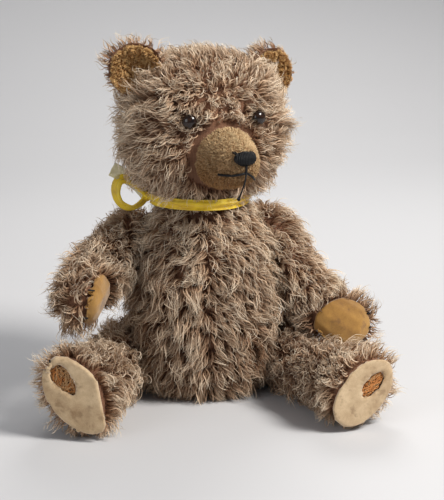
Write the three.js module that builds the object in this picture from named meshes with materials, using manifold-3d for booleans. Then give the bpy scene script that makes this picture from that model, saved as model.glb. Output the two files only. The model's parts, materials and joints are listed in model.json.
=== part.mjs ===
// A jointed mohair teddy bear, seated: covers sewn from pile cloth and packed with wood wool, and
// five disc joints that let the head, arms and legs turn. Millimetres, +Z up. It faces -Y with its
// own left at +X, and the floor is Z = 0.
import * as THREE from "three";
import { mergeVertices } from "three/addons/utils/BufferGeometryUtils.js";
import Module from "manifold-3d";

// ---------------------------------------------------------------- driving dimensions
const CLOTH = 2.5; // cover cloth with its pile pressed flat
const GAP = 0.3; // between pieces that lie against each other
const CLEAR = 0.2; // each side of a joint's plane, so that two covers never rub

// Half-widths of the torso up its height, and its depth as a share of its width.
const TORSO = {
  profile: [
    [22, -8], [32, 0], [42.5, 9], [48.5, 21], [51.5, 42], [52, 68],
    [50.5, 92], [48, 110], [44, 121], [38, 131], [32.5, 141], [29, 150], [27, 160],
  ],
  depthShare: 0.86,
};

// Each joint: the middle of its contact plane, its axis out of the torso, and its disc radius.
const NECK = { at: [0, 0, 150], axis: [0, 0, 1], disc: 19.5 };
const SHOULDER = { at: [42.6, 9, 108.5], axis: [0.9, 0.35, 0.26], disc: 13.5 };
const HIP = { at: [44.2, 9.3, 26.5], axis: [0.945, 0.28, -0.17], disc: 14 };

// How far each limb points below the level at rest, in its own joint plane, in degrees.
const DROP = { arm_left: 64.6, arm_right: 18, leg_left: 0, leg_right: 0 };
const HEAD_TURN = 14; // degrees to the bear's left

// Sizes along a limb's spine, in its own frame: down from the joint's centre, then towards its
// front, then away from the torso. Twist leans a section's front away from the torso, in degrees,
// and the caps are the lengths over which the two ends round off.
const ARMS = {
  arm_left: {
    spine: [[-26, 0, 13], [4, 0, 14], [34, 2, 17.5], [58, 6, 23], [78, 9, 33], [96, 12, 51]],
    front: [21, 23, 20.5, 17.5, 16, 15.5],
    side: [18, 20, 19, 18.5, 22, 22.5],
    twist: [0, 0, 0, 0, 0, 0],
    caps: [24, 22],
  },
  arm_right: {
    spine: [[-26, 0, 13], [4, 0, 14], [34, 0, 18], [60, 1, 20], [84, 4, 17], [106, 7, 9]],
    front: [21, 23, 20.5, 18.5, 22, 22],
    side: [18, 20, 19, 17, 17, 17],
    twist: [0, 0, 0, 0, 0, 0],
    caps: [24, 22],
  },
};
// The left hand is bent outwards, so its panel faces forward; the right one is bent inwards, and
// its panel faces the torso.
const PAW_PADS = {
  arm_left: { long: 23.5, wide: 19.5, at: [80, 9, 31], facing: 90, turn: 70 },
  arm_right: { long: 19, wide: 20, at: [86, 4, 14], facing: 5, turn: -12 },
};
const LEGS = {
  leg_left: {
    spine: [[-28, 0, 15], [6, 0, 15.5], [42, -1, 17], [76, 1, 18.5], [110, 6, 21], [146, 7, 24]],
    front: [21, 22, 20, 20, 26, 35.5],
    side: [20, 23, 22.5, 21, 21, 24.5],
    twist: [0, 0, 0, 8, 22, 34],
    caps: [26, 24],
  },
  leg_right: {
    spine: [[-28, 0, 15], [6, 0, 15.5], [42, -1, 17], [76, 2, 18.5], [110, 8, 18], [146, 9.5, 18.5]],
    front: [21, 22, 20, 20.5, 28, 39],
    side: [20, 23, 22.5, 21, 21.5, 26],
    twist: [0, 0, 0, 8, 20, 30],
    caps: [26, 24],
  },
};
const SOLE_AT = 134; // hip axis to sole
const SOLE_WRAP = 1; // how far the felt reaches back past its own thickness
const SOLES = {
  leg_left: { long: 29.5, wide: 19, up: 5.5, out: 23, lean: 34 },
  leg_right: { long: 33, wide: 20.5, up: 10.5, out: 18, lean: 30 },
};
const SOLE_HOLES = {
  leg_left: { long: 10.5, wide: 5.5, up: 12, out: 29 },
  leg_right: { long: 12, wide: 6.5, up: 23, out: 24.5 },
};

const SKULL = { width: 56.5, depth: 50, height: 58, centre: 50, squareness: 2.55, neckIn: 0.38 };
const MUZZLE = {
  spine: [[14, 38, 0], [40, 39, 0], [64, 39, 0], [92, 38.5, 0]],
  front: [24, 25, 20, 14.5],
  side: [23, 24.5, 19, 14.5],
  twist: [0, 0, 0, 0],
  caps: [20, 24],
};
const EYE = { radius: 5.4, x: 26, z: 66 };
const NOSE = { width: 17, height: 10.5, depth: 4.6, z: 45 };
const EAR = { radius: 22, cup: 11 };
// The two ears were not sewn on quite level.
const EARS = { left: { x: 49.5, y: 5, z: 91 }, right: { x: 50, y: 5, z: 99 } };

const DISC_THICK = 2.6;
const WASHER = { radius: 7, thick: 1 };
const PIN = { radius: 1.1, eye: 2.4, wire: 0.9, crown: 5 };
const PIN_HOLE = 1.7;
const RIBBON = { x: 38, y: 34.6, aside: -3, thick: 0.8, wide: 6.5, z: 148 };

// ---------------------------------------------------------------- colours
const finish = (color, roughness, metalness = 0) =>
  new THREE.MeshStandardMaterial({ color, roughness, metalness });
const MOHAIR = finish(0xa08a72, 0.95);
const CROPPED_MOHAIR = finish(0xb08d5e, 0.95);
const WOOD_WOOL = finish(0xa8622c, 0.9);
const YELLOW_FELT = finish(0xc08a35, 0.95);
const CREAM_FELT = finish(0xd9c096, 0.95);
const THREAD = finish(0x14120f, 0.7);
const GLASS = finish(0x24130b, 0.08);
const HARDBOARD = finish(0x8a6a48, 0.85);
const STEEL = finish(0x8c8c8a, 0.4, 0.9);
const SATIN = finish(0xd6b21a, 0.35);

// ---------------------------------------------------------------- solids
const wasm = await Module();
wasm.setup();
const { degToRad, clamp } = THREE.MathUtils;

function mergedShape(geometry) {
  const bare = geometry.clone();
  bare.deleteAttribute("normal");
  bare.deleteAttribute("uv");
  return mergeVertices(bare, 1e-4);
}

function solidOf(geometry) {
  const merged = mergedShape(geometry);
  const vertProperties = new Float32Array(merged.attributes.position.array);
  const triVerts = new Uint32Array(merged.index.array);
  return new wasm.Manifold(new wasm.Mesh({ numProp: 3, vertProperties, triVerts }));
}

function geometryOf(solid) {
  const mesh = solid.getMesh();
  const geometry = new THREE.BufferGeometry();
  geometry.setAttribute("position", new THREE.BufferAttribute(mesh.vertProperties, 3));
  geometry.setIndex(new THREE.BufferAttribute(mesh.triVerts, 1));
  geometry.computeVertexNormals();
  return geometry;
}

const minus = (solid, ...cuts) => cuts.reduce((left, cut) => left.subtract(cut), solid);
const plus = (...solids) => solids.reduce((sum, one) => sum.add(one));

// Cuts between curved walls can leave crumbs: only the main body is wanted.
const largest = (solid) =>
  solid.decompose().reduce((best, one) => (one.volume() > best.volume() ? one : best));

// A closed smooth shape with every vertex moved out along its normal (inwards if negative).
function swollen(geometry, distance) {
  const moved = mergedShape(geometry);
  moved.computeVertexNormals();
  const place = moved.attributes.position;
  const normal = moved.attributes.normal;
  for (let i = 0; i < place.count; i++) {
    place.setXYZ(
      i,
      place.getX(i) + normal.getX(i) * distance,
      place.getY(i) + normal.getY(i) * distance,
      place.getZ(i) + normal.getZ(i) * distance,
    );
  }
  return solidOf(moved);
}

// Everything on the far side of a plane, as far as matters here.
function beyond(point, normal) {
  const size = 600;
  const out = new THREE.Vector3(...normal).normalize();
  const turn = new THREE.Quaternion().setFromUnitVectors(new THREE.Vector3(0, 0, 1), out);
  const block = new THREE.BoxGeometry(size, size, size);
  block.translate(0, 0, size / 2);
  block.applyQuaternion(turn);
  block.translate(...point);
  return solidOf(block);
}

// A straight round bar along Z.
function bar(radius, z0, z1, sides = 14) {
  const shape = new THREE.CylinderGeometry(radius, radius, z1 - z0, sides);
  shape.rotateX(Math.PI / 2);
  shape.translate(0, 0, (z0 + z1) / 2);
  return solidOf(shape);
}

// A flat outline pulled along +Z from z = 0.
function prism(outline, depth, curveSegments = 11) {
  return new THREE.ExtrudeGeometry(outline, { depth, curveSegments, bevelEnabled: false });
}

function ellipse(radiusX, radiusY) {
  const shape = new THREE.Shape();
  shape.absellipse(0, 0, radiusX, radiusY, 0, Math.PI * 2);
  return shape;
}

// A stuffed form round a spine of stations, with its own radii at each. Its sections' sides lie
// along Z and their fronts across it, towards +Y or -Y as the sign says.
const END_FULLNESS = 2.4;

function stuffedForm({ spine, front, side, twist, caps }, frontSign, sides, rings) {
  const line = new THREE.CatmullRomCurve3(
    spine.map(([x, y, z]) => new THREE.Vector3(x, frontSign * y, z)),
  );
  const sizeAt = new THREE.CatmullRomCurve3(
    front.map((f, i) => new THREE.Vector3(f, side[i], degToRad(twist[i]))),
  );
  const length = line.getLength();
  const roundedOff = (distance, cap) => {
    const short = clamp(1 - distance / cap, 0, 1);
    return Math.pow(1 - Math.pow(short, END_FULLNESS), 1 / END_FULLNESS);
  };
  const form = new THREE.SphereGeometry(1, sides, rings);
  const place = form.attributes.position;
  for (let i = 0; i < place.count; i++) {
    const share = clamp((1 - place.getY(i)) / 2, 0, 1);
    const ring = Math.hypot(place.getX(i), place.getZ(i));
    const swell =
      roundedOff(share * length, caps[0]) * roundedOff((1 - share) * length, caps[1]);
    const along = line.getUtoTmapping(share);
    const size = sizeAt.getPoint(along);
    const tangent = line.getTangent(along);
    const sideways = new THREE.Vector3(0, 0, 1);
    sideways.addScaledVector(tangent, -tangent.z).normalize();
    sideways.applyAxisAngle(tangent, frontSign * size.z);
    const frontwards = new THREE.Vector3().crossVectors(sideways, tangent);
    const spot = line.getPoint(along);
    if (ring > 1e-6) {
      spot.addScaledVector(sideways, (place.getZ(i) / ring) * swell * size.y);
      spot.addScaledVector(frontwards, (place.getX(i) / ring) * swell * size.x);
    }
    place.setXYZ(i, spot.x, spot.y, spot.z);
  }
  return form;
}

// A wire or thread of round section along hand-set points.
function wire(points, radius, steps) {
  const path = new THREE.CatmullRomCurve3(points.map((p) => new THREE.Vector3(...p)));
  const section = new THREE.Shape();
  section.absarc(0, 0, radius, 0, Math.PI * 2, false);
  return solidOf(
    new THREE.ExtrudeGeometry(section, {
      steps,
      curveSegments: 3,
      bevelEnabled: false,
      extrudePath: path,
    }),
  );
}

// ---------------------------------------------------------------- scene graph and frames
const bear = new THREE.Group();

function piece(name, solid, material) {
  const mesh = new THREE.Mesh(geometryOf(solid), material);
  mesh.name = name;
  bear.add(mesh);
}

// A limb's frame in the bear's: +X runs down the limb and +Z along the joint's axis, away from the
// torso. The limb's front, its upper side at rest, is towards +Y or -Y as the sign says.
function limbFrame(joint, side, dropDegrees) {
  const [x, y, z] = joint.axis;
  const axis = new THREE.Vector3(side * x, y, z).normalize();
  const up = new THREE.Vector3(0, 0, 1).addScaledVector(axis, -axis.z).normalize();
  const level = new THREE.Vector3().crossVectors(axis, up).multiplyScalar(side);
  const drop = degToRad(dropDegrees);
  const along = level.multiplyScalar(Math.cos(drop)).addScaledVector(up, -Math.sin(drop));
  const across = new THREE.Vector3().crossVectors(axis, along);
  const frame = new THREE.Matrix4().makeBasis(along, across, axis);
  return frame.setPosition(side * joint.at[0], joint.at[1], joint.at[2]);
}

function placed(solid, frame) {
  const geometry = geometryOf(solid);
  geometry.applyMatrix4(frame);
  return solidOf(geometry);
}

const limbs = ["arm", "leg"].flatMap((kind) =>
  [1, -1].map((side) => {
    const name = `${kind}_${side > 0 ? "left" : "right"}`;
    const joint = kind === "arm" ? SHOULDER : HIP;
    const frame = limbFrame(joint, side, DROP[name]);
    const frontSign = -side;
    return { name, kind, side, joint, frame, frontSign };
  }),
);
const headFrame = new THREE.Matrix4().makeRotationZ(degToRad(HEAD_TURN)).setPosition(...NECK.at);

// ---------------------------------------------------------------- disc joints
// Along +Z from the contact plane: the limb's cloth, a hardboard disc, a washer, then the eye of a
// split pin. The same lie on the torso's side, where the pin's legs are curled over the washer.
const DISC_FROM = CLEAR + CLOTH + 2 * GAP;
const WASHER_FROM = DISC_FROM + DISC_THICK + GAP;
const WASHER_TO = WASHER_FROM + WASHER.thick;
const ROOM = 0.6; // slack round the hardware in the stuffing

const ringOf = (radius, z0, z1, sides) =>
  minus(bar(radius, z0, z1, sides), bar(PIN_HOLE, z0 - 1, z1 + 1, 8));

function turnedOver(solid) {
  return placed(solid, new THREE.Matrix4().makeRotationX(Math.PI));
}

function cotterPin() {
  const eyeZ = WASHER_TO + GAP + PIN.eye + 2 * PIN.wire;
  const foot = -(WASHER_TO + GAP);
  const eye = new THREE.TorusGeometry(PIN.eye, PIN.wire, 5, 10);
  eye.rotateX(Math.PI / 2);
  eye.translate(0, 0, eyeZ);
  const shank = bar(PIN.radius, foot - 1, eyeZ - PIN.eye, 8);
  const legs = [1, -1].map((way) =>
    wire(
      [
        [way * 0.3, 0, foot - 0.5],
        [way * 1.2, 0, foot - 2.6],
        [way * 3.4, 0, foot - 3.4],
        [way * PIN.crown, 0, foot - 1.6],
      ],
      PIN.wire,
      5,
    ),
  );
  return plus(solidOf(eye), shank, ...legs);
}

function limbPocket(disc) {
  const flat = bar(disc + ROOM, -5, WASHER_TO + ROOM, 18);
  const eyeRoom = bar(5, 0, WASHER_TO + 2 * PIN.eye + 5 * PIN.wire, 12);
  return plus(flat, eyeRoom);
}

function torsoPocket(disc) {
  const flat = bar(disc + ROOM, -5, WASHER_TO + ROOM, 18);
  const legRoom = bar(8, 0, WASHER_TO + 7, 12);
  return turnedOver(plus(flat, legRoom));
}

const pinBore = () => bar(PIN_HOLE, -12, 12, 8);

function jointHardware(name, disc, frame) {
  const put = (solid) => placed(solid, frame);
  const board = ringOf(disc, DISC_FROM, DISC_FROM + DISC_THICK, 18);
  const washer = ringOf(WASHER.radius, WASHER_FROM, WASHER_TO, 12);
  piece(`${name}_limb_disc`, put(board), HARDBOARD);
  piece(`${name}_limb_washer`, put(washer), STEEL);
  piece(`${name}_body_disc`, put(turnedOver(board)), HARDBOARD);
  piece(`${name}_body_washer`, put(turnedOver(washer)), STEEL);
  piece(`${name}_cotter_pin`, put(cotterPin()), STEEL);
}

// ---------------------------------------------------------------- torso
function torso() {
  const side = new THREE.SplineCurve(TORSO.profile.map(([r, z]) => new THREE.Vector2(r, z)));
  const [, bottom] = TORSO.profile[0];
  const [, top] = TORSO.profile.at(-1);
  const outline = [
    new THREE.Vector2(0, bottom),
    ...side.getPoints(12),
    new THREE.Vector2(0, top),
  ];
  const form = new THREE.LatheGeometry(outline, 18);
  form.rotateX(Math.PI / 2);
  form.scale(1, TORSO.depthShare, 1);

  const joints = [
    { disc: NECK.disc, frame: headFrame },
    ...limbs.map(({ joint, frame }) => ({ disc: joint.disc, frame })),
  ];
  // What lies outside the seat and the joints' planes, once they are brought in by an inset.
  const outside = (inset) => [
    beyond([0, 0, inset], [0, 0, -1]),
    ...joints.map(({ frame }) => {
      const axis = new THREE.Vector3().setFromMatrixColumn(frame, 2);
      const at = new THREE.Vector3().setFromMatrixPosition(frame);
      return beyond(at.addScaledVector(axis, -CLEAR - inset).toArray(), axis.toArray());
    }),
  ];
  const inner = minus(swollen(form, -CLOTH), ...outside(CLOTH));
  const bores = joints.map(({ frame }) => placed(pinBore(), frame));
  const cover = minus(solidOf(form), ...outside(0), inner, ...bores);
  const pockets = joints.map(({ disc, frame }) => placed(torsoPocket(disc), frame));
  const packing = minus(swollen(form, -CLOTH - GAP), ...outside(CLOTH + GAP), ...pockets);
  piece("torso_cover", cover, MOHAIR);
  piece("torso_stuffing", packing, WOOD_WOOL);
}

// ---------------------------------------------------------------- limbs
// The block that cuts a paw's felt panel: it faces the torso, or turns from there to the front.
function pawPadBlock({ long, wide, at, facing, turn }, frontSign, grow) {
  const block = prism(ellipse(long + grow, wide + grow), 40);
  block.rotateX(Math.PI + frontSign * degToRad(facing));
  block.rotateY(degToRad(-turn));
  block.translate(at[0], frontSign * at[1], at[2]);
  return solidOf(block);
}

const SOLE_DEPTH = 12; // of the blocks that cut the sole and its hole

// Stands a block drawn in XY against the sole: its X goes out along the joint's axis.
function againstSole(block, { up, out }, lean, frontSign) {
  block.rotateZ(frontSign * degToRad(-lean));
  block.applyMatrix4(
    new THREE.Matrix4().makeBasis(
      new THREE.Vector3(0, 0, 1),
      new THREE.Vector3(0, 1, 0),
      new THREE.Vector3(-1, 0, 0),
    ),
  );
  block.translate(SOLE_AT + SOLE_DEPTH - CLOTH - SOLE_WRAP, frontSign * up, out);
  return solidOf(block);
}

function soleBlock(sole, frontSign, grow) {
  const block = prism(ellipse(sole.wide + grow, sole.long + grow), SOLE_DEPTH + grow);
  return againstSole(block, sole, sole.lean, frontSign);
}

// The worn hole at a sole's toe end goes right through the felt.
function soleHole(hole, lean, frontSign) {
  const edge = new THREE.Shape();
  const corners = 11;
  for (let i = 0; i < corners; i++) {
    const angle = (i / corners) * Math.PI * 2;
    const worn = 1 + 0.1 * Math.sin(3 * angle) + 0.06 * Math.cos(5 * angle);
    const x = hole.wide * worn * Math.cos(angle);
    const y = hole.long * worn * Math.sin(angle);
    if (i === 0) edge.moveTo(x, y);
    else edge.lineTo(x, y);
  }
  edge.closePath();
  return againstSole(prism(edge, SOLE_DEPTH + 5), hole, lean, frontSign);
}

function limb({ name, kind, joint, frame, frontSign }) {
  const isLeg = kind === "leg";
  const form = stuffedForm(isLeg ? LEGS[name] : ARMS[name], frontSign, 13, 11);
  const panelBlock = (grow) =>
    isLeg
      ? soleBlock(SOLES[name], frontSign, grow)
      : pawPadBlock(PAW_PADS[name], frontSign, grow);
  const intoLimb = frame.clone().invert();
  // What lies outside the joint's plane, the floor and the sole's flat, brought in by an inset.
  const outside = (inset) => [
    beyond([0, 0, CLEAR + inset], [0, 0, -1]),
    placed(beyond([0, 0, inset], [0, 0, -1]), intoLimb),
    ...(isLeg ? [beyond([SOLE_AT - inset, 0, 0], [1, 0, 0])] : []),
  ];
  const outer = minus(solidOf(form), ...outside(0));
  const inner = minus(swollen(form, -CLOTH), ...outside(CLOTH));
  const packing = minus(swollen(form, -CLOTH - GAP), ...outside(CLOTH + GAP));
  const wall = minus(outer, inner);
  const cover = largest(minus(wall, panelBlock(0), pinBore()));
  let felt = wall.intersect(panelBlock(-GAP));
  if (isLeg) felt = minus(felt, soleHole(SOLE_HOLES[name], SOLES[name].lean, frontSign));
  piece(`${name}_cover`, placed(cover, frame), MOHAIR);
  piece(`${name}_stuffing`, placed(minus(packing, limbPocket(joint.disc)), frame), WOOD_WOOL);
  const feltName = isLeg ? `${name}_sole` : `${name}_pad`;
  piece(feltName, placed(largest(felt), frame), isLeg ? CREAM_FELT : YELLOW_FELT);
  jointHardware(`${name}_joint`, joint.disc, frame);
}

// ---------------------------------------------------------------- head
// Its frame stands on the neck's plane, so heights count from there. It faces -Y.
function skullForm() {
  const form = new THREE.SphereGeometry(1, 18, 12);
  form.rotateX(Math.PI / 2);
  const place = form.attributes.position;
  const power = SKULL.squareness;
  for (let i = 0; i < place.count; i++) {
    const at = [place.getX(i), place.getY(i), place.getZ(i)];
    const sum = at.reduce((total, c) => total + Math.abs(c) ** power, 0);
    const [x, y, z] = at.map((c) => c * sum ** (-1 / power));
    const low = Math.max(0, -z);
    const narrow = 1 - SKULL.neckIn * low * low;
    place.setXYZ(
      i,
      x * SKULL.width * narrow,
      y * SKULL.depth * narrow,
      z * SKULL.height + SKULL.centre,
    );
  }
  return form;
}

function muzzleForm() {
  const form = stuffedForm(MUZZLE, 1, 14, 8);
  form.rotateX(Math.PI / 2);
  form.rotateZ(-Math.PI / 2);
  return form;
}

// Where a line towards +Y at this x and z first meets a shape.
function frontOf(geometry, x, z) {
  const both = new THREE.MeshBasicMaterial({ side: THREE.DoubleSide });
  const target = new THREE.Mesh(geometry, both);
  const ray = new THREE.Raycaster(new THREE.Vector3(x, -200, z), new THREE.Vector3(0, 1, 0));
  return ray.intersectObject(target)[0].point;
}

// A glass eye: a domed front, and a shank behind it that goes into the head.
function eyeForm() {
  const domeSteps = 6;
  const dome = Array.from({ length: domeSteps + 1 }, (_, i) => {
    const angle = (i / domeSteps) * (Math.PI / 2);
    const out = i === domeSteps ? 0 : EYE.radius * Math.cos(angle);
    return new THREE.Vector2(out, 1 + 0.75 * EYE.radius * Math.sin(angle));
  });
  const form = new THREE.LatheGeometry(
    [
      new THREE.Vector2(0, -6),
      new THREE.Vector2(1, -6),
      new THREE.Vector2(1, -0.6),
      new THREE.Vector2(EYE.radius * 0.8, -0.6),
      ...dome,
    ],
    14,
  );
  form.rotateX(Math.PI / 2);
  return form;
}

function placedEye(skull, side) {
  const facing = new THREE.Vector3(side * 0.42, -1, 0.1).normalize();
  const form = eyeForm();
  const turn = new THREE.Quaternion().setFromUnitVectors(new THREE.Vector3(0, 0, 1), facing);
  form.applyQuaternion(turn);
  form.translate(...frontOf(skull, side * EYE.x, EYE.z).addScaledVector(facing, 0.8).toArray());
  return form;
}

// A round dish, cupped towards +Z.
function dish(radius, thick, cup, lift) {
  const form = new THREE.SphereGeometry(1, 14, 7);
  form.rotateX(Math.PI / 2);
  const place = form.attributes.position;
  for (let i = 0; i < place.count; i++) {
    const out = Math.hypot(place.getX(i), place.getY(i));
    const z = place.getZ(i) * (thick / 2) + cup * out * out + lift;
    place.setXYZ(i, place.getX(i) * radius, place.getY(i) * radius, z);
  }
  return form;
}

function ear(side, skullGrown) {
  const word = side > 0 ? "left" : "right";
  const at = EARS[word];
  const set = (form) => {
    form.rotateX(Math.PI / 2 - 0.12);
    form.rotateZ(side * 0.3);
    form.rotateY(side * 0.55);
    form.translate(side * at.x, at.y, at.z);
    return solidOf(form);
  };
  const back = set(dish(EAR.radius, 7, EAR.cup, 0));
  const lining = set(dish(EAR.radius - 2.5, 4.6, EAR.cup, 3.4));
  const hollow = set(dish(EAR.radius - 2.2, 5.4, EAR.cup, 3.4));
  const put = (solid) => placed(largest(solid), headFrame);
  piece(`ear_${word}_back`, put(minus(back, skullGrown, hollow)), MOHAIR);
  piece(`ear_${word}_lining`, put(minus(lining, skullGrown)), CROPPED_MOHAIR);
}

function noseAndMouth(muzzle) {
  const grown = swollen(muzzle, GAP);
  const nose = new THREE.SphereGeometry(1, 14, 9);
  nose.scale(NOSE.width / 2, NOSE.depth, NOSE.height / 2);
  nose.rotateX(-0.35);
  nose.translate(0, frontOf(muzzle, 0, NOSE.z).y + 0.6, NOSE.z);
  piece("nose_stitching", placed(largest(minus(solidOf(nose), grown)), headFrame), THREAD);

  // Points a thread's thickness off the muzzle.
  const touch = (x, z) => {
    const at = frontOf(muzzle, x, z);
    const out = new THREE.Vector3(at.x, at.y + 60, at.z - 42).normalize();
    return at.addScaledVector(out, 0.7).toArray();
  };
  const thread = 0.7;
  const down = wire([touch(0, 40.5), touch(0, 36.5), touch(0, 32.5)], thread, 4);
  const toRight = [touch(0.5, 32.6), touch(-4.5, 32), touch(-9.5, 32.5), touch(-12.2, 34)];
  const toLeft = [touch(-0.5, 32.6), touch(2.6, 30.6), touch(5, 29)];
  const mouth = plus(down, wire(toRight, thread, 6), wire(toLeft, thread, 4));
  piece("mouth_stitching", placed(largest(minus(mouth, grown)), headFrame), THREAD);
}

function head() {
  const skull = skullForm();
  const muzzle = muzzleForm();
  const below = (inset) => beyond([0, 0, CLEAR + inset], [0, 0, -1]);
  const skullGrown = swollen(skull, GAP);
  const muzzleInner = swollen(muzzle, -CLOTH);
  const eyes = [1, -1].map((side) => ({ side, form: placedEye(skull, side) }));
  const sockets = eyes.map(({ form }) => swollen(form, GAP));

  const skullInner = minus(swollen(skull, -CLOTH), below(CLOTH));
  const cover = minus(solidOf(skull), below(0), skullInner, muzzleInner, pinBore(), ...sockets);
  const muzzleCover = minus(solidOf(muzzle), muzzleInner, skullGrown, ...sockets);
  const packing = minus(
    plus(
      minus(swollen(skull, -CLOTH - GAP), below(CLOTH + GAP)),
      swollen(muzzle, -CLOTH - GAP),
    ),
    limbPocket(NECK.disc),
    ...sockets,
  );
  piece("head_cover", placed(largest(cover), headFrame), MOHAIR);
  piece("muzzle_cover", placed(largest(muzzleCover), headFrame), CROPPED_MOHAIR);
  piece("head_stuffing", placed(packing, headFrame), WOOD_WOOL);
  for (const { side, form } of eyes) {
    piece(side > 0 ? "eye_left" : "eye_right", placed(solidOf(form), headFrame), GLASS);
  }
  for (const side of [1, -1]) ear(side, skullGrown);
  noseAndMouth(muzzle);
  jointHardware("neck_joint", NECK.disc, headFrame);
}

// ---------------------------------------------------------------- ribbon
// A strip of ribbon that follows a flat curve in XZ and is as deep in Y as the ribbon is wide.
function strip(points, divisions) {
  const marks = new THREE.SplineCurve(
    points.map(([x, z]) => new THREE.Vector2(x, z)),
  ).getPoints(divisions);
  const aside = (i) => {
    const before = marks[Math.max(0, i - 1)];
    const after = marks[Math.min(marks.length - 1, i + 1)];
    const way = new THREE.Vector2().subVectors(after, before).normalize();
    return new THREE.Vector2(-way.y, way.x).multiplyScalar(RIBBON.thick / 2);
  };
  const there = marks.map((m, i) => m.clone().add(aside(i)));
  const back = marks.map((m, i) => m.clone().sub(aside(i))).reverse();
  const band = prism(new THREE.Shape([...there, ...back]), RIBBON.wide);
  band.rotateX(Math.PI / 2);
  return band;
}

function ribbon() {
  const ring = ellipse(RIBBON.x, RIBBON.y);
  const hole = new THREE.Path();
  hole.absellipse(0, 0, RIBBON.x - RIBBON.thick, RIBBON.y - RIBBON.thick, 0, Math.PI * 2);
  ring.holes.push(hole);
  const band = prism(ring, RIBBON.wide, 18);
  band.translate(RIBBON.aside, 0, RIBBON.z);
  const knot = new THREE.SphereGeometry(1, 8, 6);
  knot.scale(3, 4, 3.3);
  knot.translate(RIBBON.aside - RIBBON.x - 0.8, 0, RIBBON.z + RIBBON.wide / 2);
  const loop = strip(
    [[0, 0], [-6, -7], [-14, -9.5], [-22, -4], [-24, 6], [-20, 14], [-10, 11], [0, 1.6]],
    18,
  );
  loop.translate(RIBBON.aside - RIBBON.x - 0.6, 3, RIBBON.z + 3.6);
  piece("neck_ribbon", plus(solidOf(band), solidOf(knot), solidOf(loop)), SATIN);
}

torso();
for (const one of limbs) limb(one);
head();
ribbon();

// The part's origin is on the floor under the middle of its box.
const middle = new THREE.Box3().setFromObject(bear).getCenter(new THREE.Vector3());
for (const mesh of bear.children) mesh.geometry.translate(-middle.x, -middle.y, 0);

export default bear;
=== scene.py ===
import json
import math

import bmesh
import bpy
import numpy as np
from mathutils import Matrix, Vector
from mathutils.bvhtree import BVHTree
from mathutils.kdtree import KDTree


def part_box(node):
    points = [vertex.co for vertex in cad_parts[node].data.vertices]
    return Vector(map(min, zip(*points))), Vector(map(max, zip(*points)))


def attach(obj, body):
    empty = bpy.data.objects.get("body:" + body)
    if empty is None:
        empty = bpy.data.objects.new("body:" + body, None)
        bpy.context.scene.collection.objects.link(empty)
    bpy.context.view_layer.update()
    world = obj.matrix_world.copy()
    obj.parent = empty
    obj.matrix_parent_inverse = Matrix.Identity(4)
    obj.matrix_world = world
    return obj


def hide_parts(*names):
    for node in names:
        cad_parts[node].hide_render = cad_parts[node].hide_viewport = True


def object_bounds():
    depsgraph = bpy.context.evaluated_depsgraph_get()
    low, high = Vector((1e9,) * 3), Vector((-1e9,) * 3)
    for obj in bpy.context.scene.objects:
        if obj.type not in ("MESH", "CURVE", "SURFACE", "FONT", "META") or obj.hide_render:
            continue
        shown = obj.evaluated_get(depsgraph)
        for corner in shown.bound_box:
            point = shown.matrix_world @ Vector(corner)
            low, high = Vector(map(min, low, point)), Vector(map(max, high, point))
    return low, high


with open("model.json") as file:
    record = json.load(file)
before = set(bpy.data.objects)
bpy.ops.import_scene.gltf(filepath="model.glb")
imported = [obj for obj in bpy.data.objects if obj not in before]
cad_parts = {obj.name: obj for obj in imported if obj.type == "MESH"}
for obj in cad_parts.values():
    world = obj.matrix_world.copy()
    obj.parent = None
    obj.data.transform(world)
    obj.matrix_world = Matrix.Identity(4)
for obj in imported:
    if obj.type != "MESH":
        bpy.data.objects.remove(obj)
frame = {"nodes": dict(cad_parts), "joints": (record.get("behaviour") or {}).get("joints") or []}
cad_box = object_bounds()
nodes = frame["nodes"]
joints = {joint["name"]: joint for joint in frame["joints"]}
scene = bpy.context.scene

# ---- The room the bear sits in
# A plain pale floor that curves up a little at the back, one broad soft lamp high on the right, a weaker one
# on the left and one behind. The camera stands in front, a little to the bear's right and above.


def shown(name, mesh):
    obj = bpy.data.objects.new(name, mesh)
    scene.collection.objects.link(obj)
    return obj


def mesh_of(form, name, material=None, smooth=True):
    """The worked form as a mesh, smooth unless said, in its material."""
    mesh = bpy.data.meshes.new(name)
    form.to_mesh(mesh)
    form.free()
    if material:
        mesh.materials.append(material)
    if smooth:
        mesh.polygons.foreach_set("use_smooth", [True] * len(mesh.polygons))
    return mesh


def dyed(name, colour, roughness=0.8):
    """A new material with its shader, before its pattern is added."""
    material = bpy.data.materials.new(name)
    material.use_nodes = True
    shader = material.node_tree.nodes["Principled BSDF"]
    shader.inputs["Base Color"].default_value = (*colour, 1)
    shader.inputs["Roughness"].default_value = roughness
    return material, material.node_tree, shader


def lamp(name, place, aim, size, power, colour):
    light = bpy.data.lights.new(name, "AREA")
    light.shape, light.size, light.energy, light.color = "DISK", size, power, colour
    obj = bpy.data.objects.new(name, light)
    obj.location = place
    obj.rotation_euler = (Vector(aim) - Vector(place)).to_track_quat("-Z", "Y").to_euler()
    scene.collection.objects.link(obj)


sheet_start, sheet_end, rise_start = -3, 1.35, 0.85
paper = dyed("pale_paper", (0.62, 0.62, 0.63), 0.9)[0]
backdrop = bmesh.new()
bmesh.ops.create_grid(backdrop, x_segments=1, y_segments=40, size=1)
for vert in backdrop.verts:
    run = (vert.co.y + 1) / 2 * (sheet_end - sheet_start) + sheet_start
    vert.co = (vert.co.x * 3, run, 0.88 * max(run - rise_start, 0) ** 2 - 0.0004)
shown("floor", mesh_of(backdrop, "floor", paper))

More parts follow.
